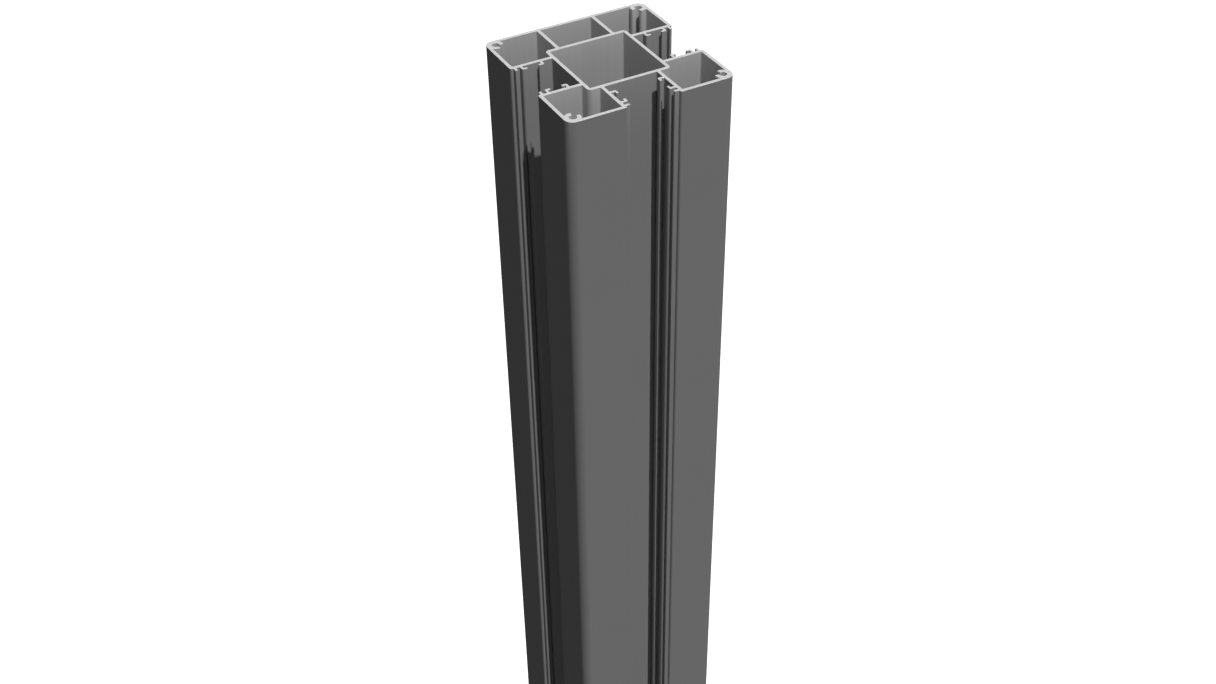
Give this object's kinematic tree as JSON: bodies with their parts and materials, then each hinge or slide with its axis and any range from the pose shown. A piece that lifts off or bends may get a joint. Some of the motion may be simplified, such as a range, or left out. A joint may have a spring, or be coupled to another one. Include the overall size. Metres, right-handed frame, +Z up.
{
  "type": "fence post",
  "caption": "Square extruded fence post with a hollow middle tube, screw ports in its corners, hooked panel slots and a closed back.",
  "frame": {"origin": "middle of the sawn base", "axes": "+Z up the post, +Y out of the closed back face, slots open to -X, -Y and +X"},
  "size_m": [0.1, 0.1, 1],
  "materials": {
    "coated_aluminium": "matt grey powder coating outside and in the slots; bare as extruded in the hollows and bare at the sawn ends"
  },
  "bodies": {
    "root": {"post_profile": "coated_aluminium"}
  },
  "joints": []
}
